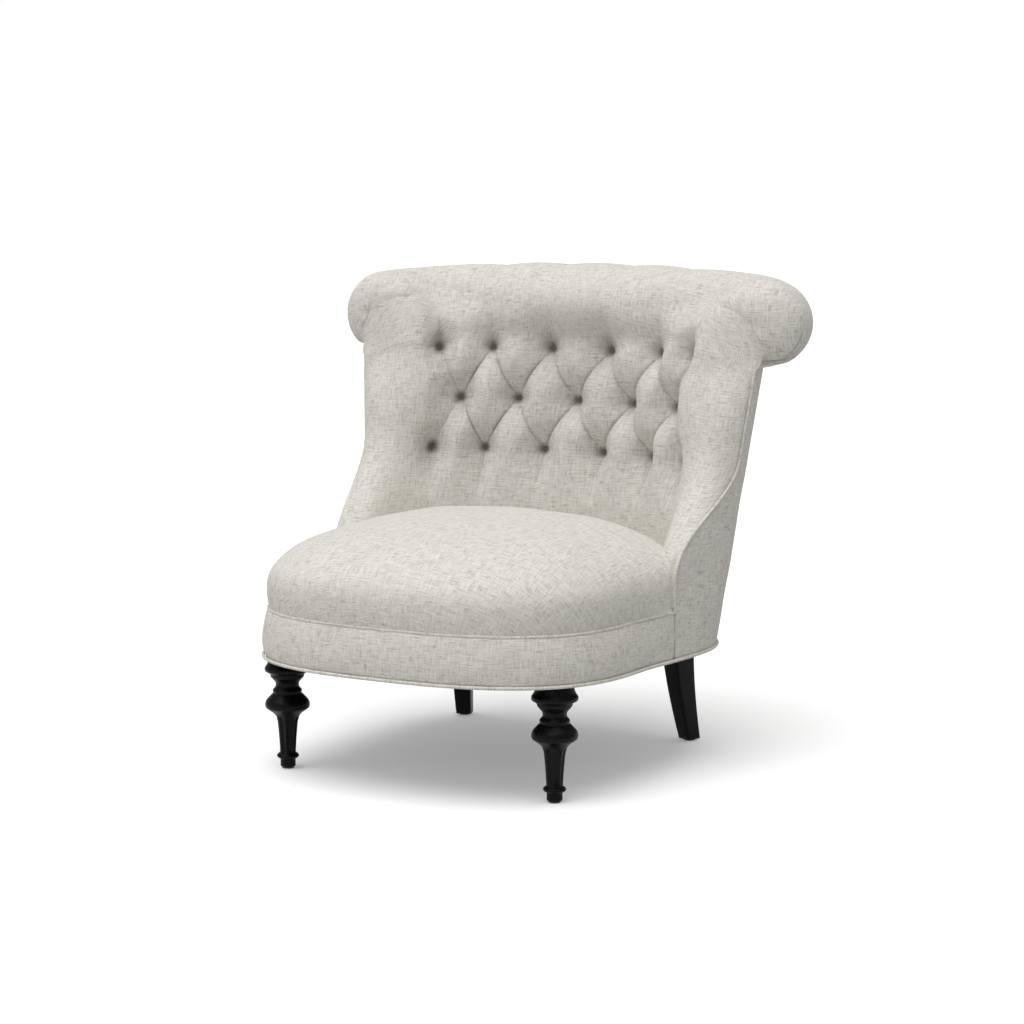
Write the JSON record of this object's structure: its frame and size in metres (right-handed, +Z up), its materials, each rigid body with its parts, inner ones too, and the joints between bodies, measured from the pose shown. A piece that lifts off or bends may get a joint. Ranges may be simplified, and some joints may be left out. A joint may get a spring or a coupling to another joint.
{
  "type": "slipper chair",
  "caption": "Low armless upholstered chair: crowned seat, curved diamond-tufted back that curls over into a thick roll, turned front legs and swept rear legs.",
  "frame": {"origin": "centre of the chair's bounding box, on the floor", "axes": "+Z up from the floor, +X to the sitter's left, -Y out of the seat's front"},
  "size_m": [0.8548, 0.804, 0.7748],
  "materials": {
    "linen": "heathered linen weave, pale warm grey with tan slubs",
    "black_wood": "black, satin",
    "timber": "plain sawn hardwood",
    "steel": "plain",
    "foam": "open-cell foam",
    "burlap": "burlap over felt",
    "cambric": "thin black dust cloth",
    "nylon": "smooth"
  },
  "bodies": {
    "root": {"front_leg_left": "black_wood", "front_glide_left": "nylon", "front_bolt_left": "steel", "rear_leg_left": "black_wood", "rear_glide_left": "nylon", "rear_bolt_left": "steel", "front_leg_right": "black_wood", "front_glide_right": "nylon", "front_bolt_right": "steel", "rear_leg_right": "black_wood", "rear_glide_right": "nylon", "rear_bolt_right": "steel", "front_rail": "timber", "side_rail_left": "timber", "side_rail_right": "timber", "rear_rail": "timber", "front_block_left": "timber", "rear_block_left": "timber", "front_block_right": "timber", "rear_block_right": "timber", "wing_board_left": "timber", "rear_post_left": "timber", "wing_board_right": "timber", "rear_post_right": "timber", "tuck_rail": "timber", "top_rail": "timber", "dust_cover": "cambric", "seat_spring_1": "steel", "seat_spring_2": "steel", "seat_spring_3": "steel", "seat_spring_4": "steel", "seat_insulator": "burlap", "back_roll": "linen", "inside_back": "linen", "button_top_1": "linen", "button_top_2": "linen", "button_top_3": "linen", "button_top_4": "linen", "button_top_5": "linen", "button_top_6": "linen", "button_middle_1": "linen", "button_middle_2": "linen", "button_middle_3": "linen", "button_middle_4": "linen", "button_middle_5": "linen", "button_bottom_1": "linen", "button_bottom_2": "linen", "button_bottom_3": "linen", "button_bottom_4": "linen", "button_bottom_5": "linen", "button_bottom_6": "linen", "back_foam": "foam", "seat_cover": "linen", "seat_foam": "foam", "seat_band": "linen", "outside_back": "linen", "base_welt": "linen", "seat_welt": "linen", "wing_welt_left": "linen", "wing_welt_right": "linen"}
  },
  "joints": []
}
